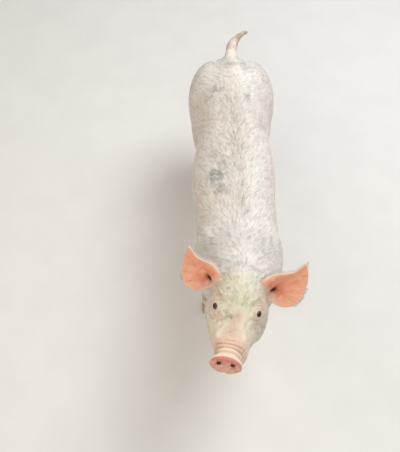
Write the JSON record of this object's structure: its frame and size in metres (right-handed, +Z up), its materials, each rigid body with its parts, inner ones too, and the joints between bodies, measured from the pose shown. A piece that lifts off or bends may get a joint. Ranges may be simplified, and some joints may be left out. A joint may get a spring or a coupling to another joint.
{
  "type": "pig",
  "caption": "Young white pig standing square with its head raised and ears spread, a still life-size model with a short raised tail and cloven feet.",
  "frame": {"origin": "middle of the footprint of the whole animal's box, on the floor under the soles", "axes": "+Z up, the pig faces -Y with its back along Y, and its left side is at +X"},
  "size_m": [0.2726, 1.0606, 0.5551],
  "materials": {
    "skin_white": "pale pink skin under a short white coat",
    "skin_pink": "bare pink skin of the snout and ears",
    "horn": "dull horn of the claws",
    "eye_wet": "wet dark brown eye"
  },
  "bodies": {
    "root": {"trunk": "skin_white", "neck": "skin_white", "head": "skin_white", "lower_jaw": "skin_white", "tail": "skin_white", "snout": "skin_pink", "ear_L": "skin_pink", "eye_L": "eye_wet", "foreleg_upper_L": "skin_white", "foreleg_lower_L": "skin_white", "forefoot_L": "skin_white", "hindleg_upper_L": "skin_white", "hindleg_lower_L": "skin_white", "hindfoot_L": "skin_white", "claw_fore_inner_L": "horn", "dewclaw_fore_inner_L": "horn", "claw_fore_outer_L": "horn", "dewclaw_fore_outer_L": "horn", "claw_hind_inner_L": "horn", "dewclaw_hind_inner_L": "horn", "claw_hind_outer_L": "horn", "dewclaw_hind_outer_L": "horn", "ear_R": "skin_pink", "eye_R": "eye_wet", "foreleg_upper_R": "skin_white", "foreleg_lower_R": "skin_white", "forefoot_R": "skin_white", "hindleg_upper_R": "skin_white", "hindleg_lower_R": "skin_white", "hindfoot_R": "skin_white", "claw_fore_inner_R": "horn", "dewclaw_fore_inner_R": "horn", "claw_fore_outer_R": "horn", "dewclaw_fore_outer_R": "horn", "claw_hind_inner_R": "horn", "dewclaw_hind_inner_R": "horn", "claw_hind_outer_R": "horn", "dewclaw_hind_outer_R": "horn"}
  },
  "joints": []
}
